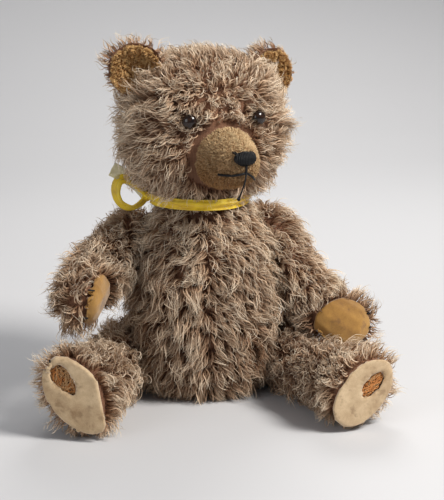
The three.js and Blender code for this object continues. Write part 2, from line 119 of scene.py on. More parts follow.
lamp("lamp_right", (0.85, -0.55, 1.2), (0, 0, 0.14), 0.55, 27, (1.0, 0.97, 0.93))
lamp("lamp_left", (-1.1, -0.9, 0.6), (0, 0, 0.12), 0.9, 4.5, (0.95, 0.97, 1.0))
lamp("lamp_back", (0.2, 0.9, 0.9), (0, 0, 0.16), 0.6, 7, (1.0, 0.98, 0.95))
scene.world = bpy.data.worlds.new("room")
scene.world.use_nodes = True
scene.world.node_tree.nodes["Background"].inputs["Color"].default_value = (0.86, 0.9, 1.0, 1)
scene.world.node_tree.nodes["Background"].inputs["Strength"].default_value = 0.17
scene.view_settings.view_transform = "Standard"

turn, rise = math.radians(-6), math.radians(14)
back = Vector((math.sin(turn) * math.cos(rise), -math.cos(turn) * math.cos(rise), math.sin(rise)))
right = Vector((math.cos(turn), math.sin(turn), 0))
over = back.cross(right)
neck = Vector(joints["neck_turn"]["pos_m"])
aim = Vector((neck.x, neck.y, 0.12)) + 0.0144 * right - 0.0114 * over
camera = bpy.data.objects.new("camera", bpy.data.cameras.new("camera"))
camera.data.lens = 118.4
camera.location = aim + 1.25 * back
camera.rotation_euler = (-back).to_track_quat("-Z", "Y").to_euler()
camera.data.clip_start, camera.data.clip_end = 0.01, 20
scene.collection.objects.link(camera)
scene.camera = camera

# ---- Body
# The body is a bag of mohair plush, four shaped gussets sewn by machine and stuffed hard with wood wool
# through a seam in the back. Its woven ground shows reddish brown where the worn pile parts.


def skin_round(name, parts, voxel, inside, swell, hull=False):
    """The cloth of a stuffed part: one closed skin round its CAD nodes, a little inside them, blown up again
    by a cloth simulation until the stuffing holds it tight."""
    form = bmesh.new()
    for part in parts:
        form.from_mesh(nodes[part].data)
    bmesh.ops.remove_doubles(form, verts=form.verts, dist=1e-6)
    if hull:
        hulled = bmesh.ops.convex_hull(form, input=form.verts)
        inner = {*hulled["geom_interior"], *hulled["geom_unused"]}
        bmesh.ops.delete(form, geom=list(inner), context="VERTS")
    obj = shown(name, mesh_of(form, name, smooth=False))
    remesh = obj.modifiers.new("Remesh", "REMESH")
    remesh.mode, remesh.voxel_size, remesh.adaptivity = "VOXEL", voxel, 0
    mesh = settled(obj)
    form = bmesh.new()
    form.from_mesh(mesh)
    keep_outer(form)
    bmesh.ops.smooth_vert(
        form, verts=form.verts, factor=0.5, use_axis_x=True, use_axis_y=True, use_axis_z=True
    )
    bmesh.ops.recalc_face_normals(form, faces=form.faces)
    form.normal_update()
    for vert in form.verts:
        vert.co -= vert.normal * (inside + swell)
    form.to_mesh(mesh)
    form.free()
    obj.data = mesh
    if swell:
        blow_up(obj, swell)
    obj.modifiers.new("Subdivision", "SUBSURF")
    obj.modifiers["Subdivision"].levels = obj.modifiers["Subdivision"].render_levels = 1
    obj.data = settled(obj)
    obj.data.polygons.foreach_set("use_smooth", [True] * len(obj.data.polygons))
    return obj


def settled(obj):
    """The object's mesh with its modifiers applied, and the modifiers taken off."""
    bpy.context.view_layer.update()
    mesh = bpy.data.meshes.new_from_object(obj.evaluated_get(bpy.context.evaluated_depsgraph_get()))
    obj.modifiers.clear()
    mesh.name = obj.name
    return mesh


def keep_outer(form):
    """Leaves only the largest of the separate shells."""
    form.verts.ensure_lookup_table()
    left, shells = set(form.verts), []
    while left:
        shell, front = set(), [left.pop()]
        while front:
            vert = front.pop()
            shell.add(vert)
            for edge in vert.link_edges:
                other = edge.other_vert(vert)
                if other in left:
                    left.discard(other)
                    front.append(other)
        shells.append(shell)
    shells.sort(key=len)
    lost = [vert for shell in shells[:-1] for vert in shell]
    bmesh.ops.delete(form, geom=lost, context="VERTS")


def blow_up(obj, most):
    """Air pressure from within tightens the skin over 20 frames; no point moves further than most."""
    start = numbers(obj.data.vertices, "co")
    cloth = obj.modifiers.new("Cloth", "CLOTH")
    cloth.settings.use_pressure = True
    cloth.settings.uniform_pressure_force = 4
    cloth.settings.effector_weights.gravity = 0
    for step in range(1, 21):
        scene.frame_set(step)
    mesh = settled(obj)
    moved = numbers(mesh.vertices, "co") - start
    scene.frame_set(1)
    long = np.maximum(np.linalg.norm(moved, axis=1, keepdims=True), 1e-9)
    moved *= np.minimum(long, most * 1.3) / long
    obj.data.vertices.foreach_set("co", (start + moved).ravel())


def numbers(items, field, width=3):
    found = np.empty(len(items) * width)
    items.foreach_get(field, found)
    return found.reshape(-1, width)


def unit(rows):
    return rows / np.maximum(np.linalg.norm(rows, axis=-1, keepdims=True), 1e-9)


def triangles(mesh):
    mesh.calc_loop_triangles()
    corner = np.empty(len(mesh.loop_triangles) * 3, int)
    mesh.loop_triangles.foreach_get("vertices", corner)
    return corner.reshape(-1, 3)


def patches(points, size, seed):
    """A smooth random value from -1 to 1 over the points, in patches about as big as size."""
    rng = np.random.default_rng(seed)
    value = np.zeros(len(points))
    for _ in range(6):
        way = unit(rng.normal(size=3)) * 2 * math.pi / size * rng.uniform(0.5, 1.1)
        value += np.sin(points @ way + rng.uniform(0, 7))
    return value / 3


def lock_of_mohair(strands, steps, wide, gather, curl, turns, seed):
    """One curly lock, standing along Z from 0 to 1, each strand a thin strip that narrows to a point.
    Widths are in metres, so that a long lock is no thicker than a short one."""
    rng = np.random.default_rng(seed)
    form = bmesh.new()
    for _ in range(strands):
        strip = bmesh.ops.create_grid(form, x_segments=1, y_segments=steps, size=0.5)["verts"]
        face, phase = rng.uniform(0, math.pi), rng.uniform(0, 2 * math.pi)
        root = rng.normal(size=2) * gather
        lean = rng.normal(size=2) * gather * 0.9
        own_curl, own_turns = curl * rng.uniform(0.6, 1.4), turns * rng.uniform(0.7, 1.3)
        tall = rng.uniform(0.8, 1.08)
        for vert in strip:
            up = vert.co.y + 0.5
            half = wide * math.copysign(0.5, vert.co.x) * min(1, 0.55 + up * 1.6) * (1 - up**2.2)
            twist = face + up * 1.8
            swing = own_curl * min(1, up * 2.2)
            turn = phase + own_turns * up * 6.283
            x = root[0] * (1 - 0.5 * up) + lean[0] * up + swing * math.cos(turn)
            y = root[1] * (1 - 0.5 * up) + lean[1] * up + swing * math.sin(turn)
            vert.co = (x + half * math.cos(twist), y + half * math.sin(twist), up * tall)
        tips = [vert for vert in strip if abs(vert.co.z - tall) < 1e-6]
        bmesh.ops.remove_doubles(form, verts=tips, dist=1e-5)
    mesh = mesh_of(form, "lock", smooth=False)
    return numbers(mesh.vertices, "co"), triangles(mesh)


# No lock is rooted lower than this, none reaches further than this past the covers' box, and this share of
# them are ringlets.
NO_PILE_UNDER, PILE_PAST_COVERS, RINGLET_SHARE = 0.0012, 0.0148, 0.42


def plant(name, skin, body, pile, locks, gap, length, lay, lean, tone, clear, where=None,
          ringlet=(), tuft=0.0062, loose=0.42, seed=1):
    """Tufts of pile all over a skin. gap is the spacing of the locks; length, lay and tone give each root its
    length, the way it is combed and its shade, and lean is how far it bends over; clear lists the CAD nodes,
    and how near, that stay bare. Some of the locks are longer, paler ringlets, which lie over the others."""
    rng = np.random.default_rng(seed)
    corner = triangles(skin.data)
    place, normal = numbers(skin.data.vertices, "co"), numbers(skin.data.vertices, "normal")
    a, b, c = place[corner].transpose(1, 0, 2)
    area = np.linalg.norm(np.cross(b - a, c - a), axis=1) / 2
    count = int(area.sum() / gap**2)
    picked = np.searchsorted(np.cumsum(area) / area.sum(), rng.uniform(size=count)).clip(0, len(area) - 1)
    part = rng.uniform(size=(count, 2))
    part[part.sum(1) > 1] = 1 - part[part.sum(1) > 1]
    part = np.c_[1 - part.sum(1), part]
    root = (place[corner[picked]] * part[:, :, None]).sum(1)
    up = unit((normal[corner[picked]] * part[:, :, None]).sum(1))
    bare = root[:, 2] < NO_PILE_UNDER
    if where:
        bare |= ~where(root)
    for part, near in clear:
        tree = tree_of(part)
        for i in np.flatnonzero(~bare):
            bare[i] = tree.find_nearest(Vector(root[i]), near)[0] is not None
    root, up = root[~bare], up[~bare]
    count = len(root)

    # Neighbouring locks cling together in tufts that each take their own way.
    heads = rng.permutation(count)[: max(int(count * gap**2 / tuft**2), 1)]
    finder = KDTree(len(heads))
    for i, head in enumerate(heads):
        finder.insert(Vector(root[head]), i)
    finder.balance()
    tuft_of = np.array([finder.find(Vector(r))[1] for r in root])
    sway = rng.normal(size=(len(heads), 3))[tuft_of] * loose + rng.normal(size=(count, 3)) * loose * 0.25
    comb = unit(lay(root, up)) + sway
    comb = unit(comb - up * (comb * up).sum(1, keepdims=True))
    bow = (lean(root) if callable(lean) else lean) + rng.normal(size=len(heads))[tuft_of] * 0.22
    bow = (bow + rng.normal(size=count) * 0.09).clip(0.25, 2.3)
    long = length(root) * (1 + 0.14 * rng.normal(size=len(heads))[tuft_of]) * rng.uniform(0.8, 1.15, count)
    shade = tone(root, up) + 0.11 * rng.normal(size=len(heads))[tuft_of] + 0.07 * rng.normal(size=count)
    kind = rng.integers(len(locks), size=count)
    if ringlet:
        over = rng.uniform(size=count) < RINGLET_SHARE
        kind[over] = len(locks) + rng.integers(len(ringlet), size=over.sum())
        long[over] *= rng.uniform(1.15, 1.55, over.sum())
        shade[over] += rng.uniform(0.4, 1.1, over.sum())
        shade[~over] -= 0.16
    shade = (0.5 + 0.5 * shade).clip(0.02, 0.98)
    side = np.cross(up, comb)
    end = root + (long / bow)[:, None] * (up * np.sin(bow)[:, None] + comb * (1 - np.cos(bow))[:, None])
    pull = (end[heads][tuft_of] - end) * 0.5

    verts, faces, maps, start = [], [], [], 0
    for k, (shape, faces_of) in enumerate([*locks, *ringlet]):
        mine = np.flatnonzero(kind == k)
        spin = rng.uniform(0, 2 * math.pi, len(mine))
        thick = rng.uniform(0.75, 1.25, len(mine))
        x = (shape[:, 0] * np.cos(spin)[:, None] - shape[:, 1] * np.sin(spin)[:, None]) * thick[:, None]
        y = (shape[:, 0] * np.sin(spin)[:, None] + shape[:, 1] * np.cos(spin)[:, None]) * thick[:, None]
        z = shape[:, 2]
        angle = bow[mine][:, None] * z
        rise = (long / bow)[mine][:, None] * np.sin(angle)
        run = (long / bow)[mine][:, None] * (1 - np.cos(angle))
        u, c, s = up[mine][:, None], comb[mine][:, None], side[mine][:, None]
        across = c * np.cos(angle)[..., None] - u * np.sin(angle)[..., None]
        at = root[mine][:, None] + u * rise[..., None] + c * run[..., None] + s * x[..., None]
        at += across * y[..., None] + pull[mine][:, None] * (z**2)[None, :, None]
        verts.append(at.reshape(-1, 3))
        first = start + np.arange(len(mine)) * len(shape)
        faces.append((faces_of[None] + first[:, None, None]).reshape(-1, 3))
        across_lock = shade[mine][:, None] + 0.004 * np.where(np.arange(len(shape)) % 2, 1, -1)
        up_lock = 0.01 + 0.98 * z.clip(0, 1)
        maps.append(np.stack(np.broadcast_arrays(across_lock, up_lock), -1).reshape(-1, 2))
        start += len(mine) * len(shape)
    verts, faces, maps = (np.concatenate(rows) for rows in (verts, faces, maps))
    verts = verts.clip(np.array(cad_box[0]) - PILE_PAST_COVERS, np.array(cad_box[1]) + PILE_PAST_COVERS)
    verts[:, 2] = np.maximum(verts[:, 2], 0.0005 + 0.001 * maps[:, 1])
    mesh = bpy.data.meshes.new(name)
    mesh.vertices.add(len(verts))
    mesh.vertices.foreach_set("co", verts.ravel())
    mesh.loops.add(faces.size)
    mesh.loops.foreach_set("vertex_index", faces.ravel())
    mesh.polygons.add(len(faces))
    mesh.polygons.foreach_set("loop_start", np.arange(len(faces)) * 3)
    mesh.uv_layers.new(name="OFBake").uv.foreach_set("vector", maps[faces.ravel()].ravel())
    mesh.update(calc_edges=True)
    mesh.polygons.foreach_set("use_smooth", [True] * len(faces))
    mesh.materials.append(pile)
    obj = shown(name, mesh)
    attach(obj, body)
    return obj


def tree_from(obj):
    mesh = obj.data
    return BVHTree.FromPolygons([v.co for v in mesh.vertices], [p.vertices for p in mesh.polygons])


trees = {}


def tree_of(part):
    """The search tree of a CAD node, made once."""
    if part not in trees:
        trees[part] = tree_from(nodes[part])
    return trees[part]


def link(tree, start, end):
    tree.links.new(start, end)


def made(tree, kind, **settings):
    """A node with its settings and its unlinked inputs."""
    node = tree.nodes.new(kind)
    for name, value in settings.items():
        if name in node.bl_rna.properties:
            setattr(node, name, value)
        else:
            node.inputs[name.replace("_", " ")].default_value = value
    return node


def noise(tree, scale, detail, **settings):
    """Noise in the space of the piece itself."""
    node = made(tree, "ShaderNodeTexNoise", Scale=scale, Detail=detail, **settings)
    link(tree, made(tree, "ShaderNodeTexCoord").outputs["Object"], node.inputs["Vector"])
    return node.outputs["Fac"]


def sum_of(tree, first, share, second):
    """A share of the first value, added to the second."""
    add = made(tree, "ShaderNodeMath", operation="MULTIPLY_ADD")
    link(tree, first, add.inputs[0])
    add.inputs[1].default_value = share
    link(tree, second, add.inputs[2])
    return add.outputs[0]


def relief(tree, shader, height, strength, distance):
    bump = made(tree, "ShaderNodeBump", Strength=strength, Distance=distance)
    link(tree, height, bump.inputs["Height"])
    link(tree, bump.outputs["Normal"], shader.inputs["Normal"])


def ramp(tree, stops, source):
    node = tree.nodes.new("ShaderNodeValToRGB")
    while len(node.color_ramp.elements) < len(stops):
        node.color_ramp.elements.new(0.5)
    for element, (at, colour) in zip(node.color_ramp.elements, stops):
        element.position, element.color = at, (*colour, 1)
    link(tree, source, node.inputs["Fac"])
    return node.outputs["Color"]


def mohair(name, dull, bright):
    """Pile dyed by its own map: across it from the dullest lock to the brightest, up it from root to tip."""
    material, tree, shader = dyed(name, bright[1][1], 0.62)
    along = made(tree, "ShaderNodeUVMap", uv_map="OFBake")
    split = made(tree, "ShaderNodeSeparateXYZ")
    link(tree, along.outputs["UV"], split.inputs["Vector"])
    mix = made(tree, "ShaderNodeMix", data_type="RGBA")
    link(tree, split.outputs["X"], mix.inputs[0])
    link(tree, ramp(tree, dull, split.outputs["Y"]), mix.inputs[6])
    link(tree, ramp(tree, bright, split.outputs["Y"]), mix.inputs[7])
    link(tree, mix.outputs[2], shader.inputs["Base Color"])
    shader.inputs["Specular IOR Level"].default_value = 0.25
    shader.inputs["Sheen Weight"].default_value = 0.12
    shader.inputs["Sheen Roughness"].default_value = 0.4
    return material


def woven(name, thin, thick, thread, roughness=0.9, depth=0.4):
    """Plain weave: two sets of threads over a colour that varies in soft patches."""
    material, tree, shader = dyed(name, thick, roughness)
    at = made(tree, "ShaderNodeTexCoord").outputs["Object"]
    waves = []
    for direction in ("X", "Z"):
        wave = made(tree, "ShaderNodeTexWave", bands_direction=direction, Distortion=0.6)
        wave.inputs["Scale"].default_value = 0.314 / thread
        link(tree, at, wave.inputs["Vector"])
        waves.append(wave.outputs["Fac"])
    both = made(tree, "ShaderNodeMath", operation="MULTIPLY")
    link(tree, waves[0], both.inputs[0])
    link(tree, waves[1], both.inputs[1])
    value = sum_of(tree, both.outputs[0], 0.35, noise(tree, 70, 4))
    link(tree, ramp(tree, [(0.3, thin), (0.85, thick)], value), shader.inputs["Base Color"])
    relief(tree, shader, both.outputs[0], depth, 0.0006)
    return material


ground_cloth = woven("ground_cloth", (0.1, 0.042, 0.022), (0.28, 0.135, 0.072), 0.0011)
long_pile = mohair(
    "mohair_pile",
    [(0, (0.11, 0.04, 0.018)), (0.4, (0.2, 0.09, 0.042)), (1, (0.34, 0.195, 0.1))],
    [(0, (0.3, 0.13, 0.06)), (0.35, (0.58, 0.385, 0.235)), (1, (1.0, 0.89, 0.7))],
)
LOCK_SPACING = 0.0021
curly = [lock_of_mohair(3, 6, 0.001, 0.0008, 0.001, 0.8, seed) for seed in range(8)]
ringlets = [lock_of_mohair(2, 10, 0.00075, 0.0004, 0.0018, 0.95, seed) for seed in range(100, 108)]

body_skin = skin_round("torso_skin", ["torso_cover", "torso_stuffing"], 0.0045, 0.002, 0.0014)
body_skin.data.materials.append(ground_cloth)
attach(body_skin, "torso")
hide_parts("torso_cover", "torso_stuffing")


def down_from_parting(root, up):
    """Combed down, and away from the seam down the middle of the front."""
    off = root[:, 0] - neck.x
    return np.stack([np.sign(off) * (0.25 + 0.45 * np.exp(-np.abs(off) / 0.014)), off * 0, off * 0 - 1], 1)


def body_length(root):
    """Worn shorter on the chest, where the ribbon rubs."""
    return 0.017 - 0.006 * ((root[:, 2] - 0.115) / 0.03).clip(0, 1)


def body_tone(root, up):
    """Paler on the chest, dull along the parting, and darker with painted shade low under the left arm."""
    off = np.abs(root[:, 0] - neck.x)
    worn = 0.25 * np.exp(-off / 0.006) * (up[:, 1] < 0)
    chest = ((root[:, 2] - 0.085) / 0.04).clip(-0.8, 1)
    # Painted shade: darker low down on the bear's left side, under the left arm.
    shaded = 0.3 * ((root[:, 0] - neck.x - 0.01) / 0.02).clip(0, 1) * ((0.08 - root[:, 2]) / 0.03).clip(0, 1)
    return 0.1 + 0.3 * patches(root, 0.035, 3) + 0.35 * chest - worn - shaded


limbs = ("arm_left", "arm_right", "leg_left", "leg_right")
beside_body = [("neck_ribbon", 0.003)] + [(limb + "_cover", 0.003) for limb in limbs]
for side, seed in (("front", 11), ("back", 12)):
    body_fur = plant(
        "torso_fur_" + side, body_skin, "torso", long_pile, curly, LOCK_SPACING,
        body_length, down_from_parting, 1.6, body_tone, beside_body,
        where=lambda root: (root[:, 1] < neck.y) == (side == "front"), ringlet=ringlets, seed=seed,
    )

# ---- Head
# The head is sewn of three gussets and stuffed as hard as wood. Its pile grows out from the face on every
# side, short by the muzzle and long on the cheeks, and falls over the eyes. It turns on the neck joint.

head_skin = skin_round("head_skin", ["head_cover", "head_stuffing"], 0.0045, 0.002, 0.0014)
head_skin.data.materials.append(ground_cloth)
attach(head_skin, "head")
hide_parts("head_cover", "head_stuffing")
facing = Matrix.Rotation(math.radians(14), 3, "Z") @ Vector((0, -1, 0))
beside = Vector((-facing.y, facing.x, 0))
ahead, aside = np.array(facing), np.array(beside)
face_middle = np.array(neck + facing * 0.05 + Vector((0, 0, 0.056)))


def out_from_face(root, up):
    """Radiates from the middle of the face; the cheeks hang, and the brow falls over the eyes and bridge."""
    away = unit(root - face_middle)
    away[:, 2] -= 0.25 * (root[:, 2] < face_middle[2]) * (root[:, 2] > 0.165)
    off = root - face_middle
    brow = np.exp(-(((off[:, 2] - 0.021) / 0.009) ** 2)) * np.exp(-((off @ aside / 0.034) ** 4))
    brow = (1.25 * brow * (off @ ahead > -0.03)).clip(0, 1)[:, None]
    over_brow = (off @ aside)[:, None] * 12 * aside + (0, 0, -1)
    return away * (1 - brow) + over_brow * brow


def head_tone(root, up):
    return 0.1 + 0.3 * patches(root, 0.035, 5) + 0.2 * (root[:, 2] - face_middle[2]) / 0.05


def head_length(root):
    """Short by the muzzle and at the throat, long on the crown and cheeks."""
    near = np.linalg.norm(root - face_middle, axis=1)
    low = ((0.172 - root[:, 2]) / 0.015).clip(0, 1)
    top = ((root[:, 2] - 0.236) / 0.012).clip(0, 1)
    return (0.0075 + 0.009 * ((near - 0.024) / 0.03).clip(0, 1)) * (1 - 0.35 * low) * (1 - 0.3 * top)


def off_the_muzzle(root):
    off = root - np.array(neck + Vector((0, 0, 0.0385)))
    return (np.hypot(off @ aside, off[:, 2]) > 0.025) | (off @ ahead < 0.008)


beside_head = [("muzzle_cover", 0.0013), ("eye_left", 0.0014), ("eye_right", 0.0014)]
beside_head += [("torso_cover", 0.004), ("ear_left_back", 0.001), ("ear_right_back", 0.001)]
for side, seed in (("front", 21), ("back", 22)):
    head_fur = plant(
        "head_fur_" + side, head_skin, "head", long_pile, curly, LOCK_SPACING,
        head_length, out_from_face, 1.5, head_tone, beside_head,
        where=lambda root: ((root[:, 1] < neck.y) == (side == "front")) & off_the_muzzle(root),
        ringlet=ringlets, seed=seed,
    )

# ---- Muzzle
# The muzzle is a separate piece of cropped mohair, clipped so short that its gold brown ground shows, and
# worn bare along the seam over its bridge. It is sewn on all round and stuffed to a blunt point.

cropped_cloth = woven("cropped_cloth", (0.2, 0.09, 0.03), (0.5, 0.31, 0.15), 0.0009, 0.85, 0.3)
muzzle_skin = skin_round("muzzle_skin", ["muzzle_cover"], 0.003, 0.0004, 0.0005, hull=True)
muzzle_skin.data.materials.append(cropped_cloth)
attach(muzzle_skin, "head")
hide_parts("muzzle_cover")

nose_tip = np.array(neck + facing * 0.09 + Vector((0, 0, 0.047)))
cropped_pile = mohair(
    "cropped_pile",
    [(0, (0.19, 0.08, 0.022)), (0.5, (0.28, 0.135, 0.043)), (1, (0.36, 0.19, 0.065))],
    [(0, (0.48, 0.3, 0.135)), (0.4, (0.68, 0.48, 0.25)), (1, (0.84, 0.66, 0.41))],
)
cropped = [lock_of_mohair(4, 2, 0.00045, 0.0006, 0.0001, 0.3, seed) for seed in range(30, 34)]


def even(length):
    """Pile of the same length all over."""
    return lambda root: np.full(len(root), length)


def back_from_nose(root, up):
    return root - nose_tip


def muzzle_tone_and_painted_light(root, up):
    """Random patches, with painted light: paler where the pile faces up and toward the bear's left, darker on
    its right side and under the chin.
    """
    return 0.1 * patches(root, 0.02, 7) + 0.85 * up[:, 2] + 0.3 * (up @ aside) - 0.12


muzzle_pile = plant(
    "muzzle_pile", muzzle_skin, "head", cropped_pile, cropped, 0.00095,
    even(0.0019), back_from_nose, 1.5, muzzle_tone_and_painted_light,
    [("nose_stitching", 0.0012), ("mouth_stitching", 0.0005)],
    where=lambda root: (root - face_middle) @ ahead > -0.012, tuft=0.0016, loose=0.22, seed=31,
)

# ---- Nose, mouth and the seam over the muzzle
# The nose is satin stitch in black embroidery thread over a scrap of felt. One thread runs down to the
# mouth, a long stitch one way and a short one the other, and its loose end hangs with a knot in it.


def thread_of(name, routes, thick, material, body, sides=1, steps=4):
    """Threads that run smoothly through routes of points, as one piece."""
    curve = bpy.data.curves.new(name, "CURVE")
    curve.dimensions, curve.bevel_depth, curve.bevel_resolution = "3D", thick / 2, sides
    curve.use_fill_caps, curve.resolution_u = True, steps
    for route in routes:
        points = curve.splines.new("BEZIER").bezier_points
        points.add(len(route) - 1)
        for point, place in zip(points, route):
            point.co = place
            point.handle_left_type = point.handle_right_type = "AUTO"
    drawn = shown(name, curve)
    mesh = settled(drawn)
    bpy.data.objects.remove(drawn)
    mesh.materials.clear()
    mesh.materials.append(material)
    mesh.polygons.foreach_set("use_smooth", [True] * len(mesh.polygons))
    obj = shown(name, mesh)
    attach(obj, body)
    return obj


def twisted(name, colour, light, roughness=0.55):
    """Twisted thread: fine slanting bands of light and dark ply."""
    material, tree, shader = dyed(name, colour, roughness)
    at = made(tree, "ShaderNodeTexCoord").outputs["Object"]
    wave = made(tree, "ShaderNodeTexWave", bands_direction="DIAGONAL", Scale=700, Distortion=1.5)
    link(tree, at, wave.inputs["Vector"])
    link(tree, ramp(tree, [(0.2, colour), (0.9, light)], wave.outputs["Fac"]), shader.inputs["Base Color"])
    relief(tree, shader, wave.outputs["Fac"], 0.5, 0.0002)
    shader.inputs["Specular IOR Level"].default_value = 0.3
    return material


black_thread = twisted("black_thread", (0.002, 0.002, 0.0025), (0.008, 0.008, 0.009), 0.5)
pale_thread = twisted("pale_thread", (0.42, 0.27, 0.12), (0.68, 0.52, 0.3), 0.7)


def on_muzzle(x, z, tree, lift):
    """The point that far to the bear's left and up from the neck joint, just off the front of the muzzle."""
    start = neck + beside * x + Vector((0, 0, z)) + facing * 0.14
    hit, normal = tree.ray_cast(start, -facing)[:2]
    if hit is None:
        hit, normal = muzzle_tree.ray_cast(start, -facing)[:2]
    return hit + normal * lift


muzzle_tree, nose_tree = tree_from(muzzle_skin), tree_of("nose_stitching")
nose = nodes["nose_stitching"]
nose.data.materials.clear()
nose.data.materials.append(black_thread)
nose_half, nose_top, nose_rows = 0.0078, 0.0496, 14
rows = []
for i in range(1, nose_rows):
    x = (i * 2 / nose_rows - 1) * nose_half
    low = 0.0502 - 0.0103 * math.sqrt(1 - (abs(x) / 0.0086) ** 2.2)
    high = nose_top - 0.0012 * (x / nose_half) ** 2
    rows.append([on_muzzle(x, low + (high - low) * k / 4, nose_tree, 0.0001) for k in range(5)])
thread_of("nose_threads", rows, 0.0013, black_thread, "head", sides=2)

down = [on_muzzle(0, z, muzzle_tree, 0.0019) for z in (0.0400, 0.0380, 0.0358)]
to_right = ((0.0006, 0.0360), (-0.003, 0.0350), (-0.0065, 0.0343), (-0.010, 0.0336), (-0.0135, 0.0330))
to_right = [on_muzzle(x, z, muzzle_tree, 0.0021) for x, z in to_right]
to_left = ((-0.0006, 0.0361), (0.0036, 0.0335), (0.0078, 0.0300))
to_left = [on_muzzle(x, z, muzzle_tree, 0.0022) for x, z in to_left]
mouth_routes = [down, to_right, to_left]
mouth = thread_of("mouth_threads", mouth_routes, 0.0017, black_thread, "head", sides=3)
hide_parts("mouth_stitching")
start = down[-1] + facing * 0.0008
steps_down = ((0, 0, 0), (-0.0012, -0.0012, -0.006), (-0.0032, -0.0005, -0.0125), (-0.0052, 0.0008, -0.0185))
loose_end = [start + Vector(step) for step in steps_down]
thread_of("mouth_loose_end", [loose_end], 0.0012, black_thread, "head", sides=3)
knot = bmesh.new()
bmesh.ops.create_icosphere(knot, subdivisions=2, radius=0.0013)
place = Matrix.Translation(loose_end[-1]) @ Matrix.Diagonal((1, 0.8, 1.3, 1))
bmesh.ops.transform(knot, matrix=place, verts=knot.verts)
knot = shown("mouth_knot", mesh_of(knot, "mouth_knot", black_thread, smooth=False))
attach(knot, "head")

seam = []
for i in range(15):
    out = 0.0865 - i * 0.0017
    reach = 0.0018 + 0.0004 * math.sin(i * 2.4)
    middle = -0.0012 + 0.0006 * math.sin(i * 1.3)
    stitch = []
    for k in (-1, 0, 1):
        start = neck + beside * (middle + reach * k) + facing * (out + 0.0007 * k) + Vector((0, 0, 0.12))
        hit, normal = muzzle_tree.ray_cast(start, Vector((0, 0, -1)))[:2]
        stitch.append(hit + normal * 0.0016)
    seam.append(stitch)
thread_of("muzzle_seam", seam, 0.0007, pale_thread, "head")

# ---- Eyes
# Two dark brown glass eyes, each a flattened dome blown on a wire shank, which is drawn through the head
# and tied off behind. The pile half covers them.

glass, tree, shader = dyed("eye_glass", (0.012, 0.006, 0.004), 0.16)
streak = ramp(tree, [(0.35, (0.004, 0.003, 0.003)), (0.75, (0.035, 0.014, 0.006))], noise(tree, 420, 3))
link(tree, streak, shader.inputs["Base Color"])
EYE_RADIUS, EYE_FLATNESS = 0.0055, 0.76
for side, word in ((1, "left"), (-1, "right")):
    looks = (facing + beside * side * 0.42 + Vector((0, 0, 0.1))).normalized()
    places = [v.co for v in nodes["eye_" + word].data.vertices]
    apex = max(places, key=lambda place: place.dot(looks))
    form = bmesh.new()
    bmesh.ops.create_uvsphere(form, u_segments=32, v_segments=20, radius=EYE_RADIUS)
    place = Matrix.Translation(apex - looks * 0.0041) @ looks.to_track_quat("Z", "Y").to_matrix().to_4x4()
    bmesh.ops.transform(form, matrix=place @ Matrix.Diagonal((1, 1, EYE_FLATNESS, 1)), verts=form.verts)
    eye = shown("eye_dome_" + word, mesh_of(form, "eye_dome_" + word, glass))
    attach(eye, "head")
    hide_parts("eye_" + word)

# ---- Ears
# Each ear is a half round of long mohair faced with cropped gold brown plush, turned, stuffed lightly and
# sewn to the head in a cup. The plush is painted darker down in the hollow by the ear's foot, as shade.

plush_cloth = woven("plush_cloth", (0.12, 0.05, 0.012), (0.34, 0.16, 0.045), 0.0009, 0.9, 0.3)
plush_pile = mohair(
    "plush_pile",
    [(0, (0.1, 0.045, 0.014)), (0.5, (0.22, 0.105, 0.035)), (1, (0.36, 0.19, 0.07))],
    [(0, (0.45, 0.24, 0.08)), (0.5, (0.8, 0.5, 0.2)), (1, (0.95, 0.68, 0.33))],
)
for side, word in ((1, "left"), (-1, "right")):
    back_node, lining_node = f"ear_{word}_back", f"ear_{word}_lining"
    middle = np.array(sum(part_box(lining_node), Vector()) / 2)
    foot = np.array(neck + beside * side * 0.04 + Vector((0, 0, 0.085)))
    ear_skin = skin_round(f"ear_{word}_skin", [back_node], 0.0016, 0.0004, 0)
    lining = skin_round(f"ear_{word}_plush", [lining_node], 0.0014, 0.0002, 0)
    for obj, cloth, node in ((ear_skin, ground_cloth, back_node), (lining, plush_cloth, lining_node)):
        obj.data.materials.append(cloth)
        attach(obj, "head")
        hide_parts(node)

    def out_from_ear(root, up):
        away = unit(root - middle) - 0.7 * ahead
        away[:, 2] += 0.2
        return away

    ear_fur = plant(
        f"ear_{word}_fur", ear_skin, "head", long_pile, curly, 0.0025,
        even(0.0115), out_from_ear, 1.0, lambda root, up: 0.3 + 0.3 * patches(root, 0.03, 8),
        [(lining_node, 0.0033), ("head_cover", 0.002)], ringlet=ringlets, seed=41 + side,
    )

    def plush_hollow_shade(root, up):
        # Painted shade: darker near the ear's foot, down in the hollow.
        return 0.9 * ((np.linalg.norm(root - foot, axis=1) - 0.01) / 0.018).clip(-0.6, 1) - 0.2

    ear_pile = plant(
        f"ear_{word}_pile", lining, "head", plush_pile, cropped, 0.00092,
        even(0.0024), out_from_ear, 1.3, plush_hollow_shade, [("head_cover", 0.0012)],
        tuft=0.0025, loose=0.3, seed=43 + side,
    )

# ---- Neck ribbon
# A length of yellow satin ribbon, 10 mm wide, creased lengthwise and tied round the neck, with a loop at
# the bear's right and a faded, see-through end that stands up beside it.


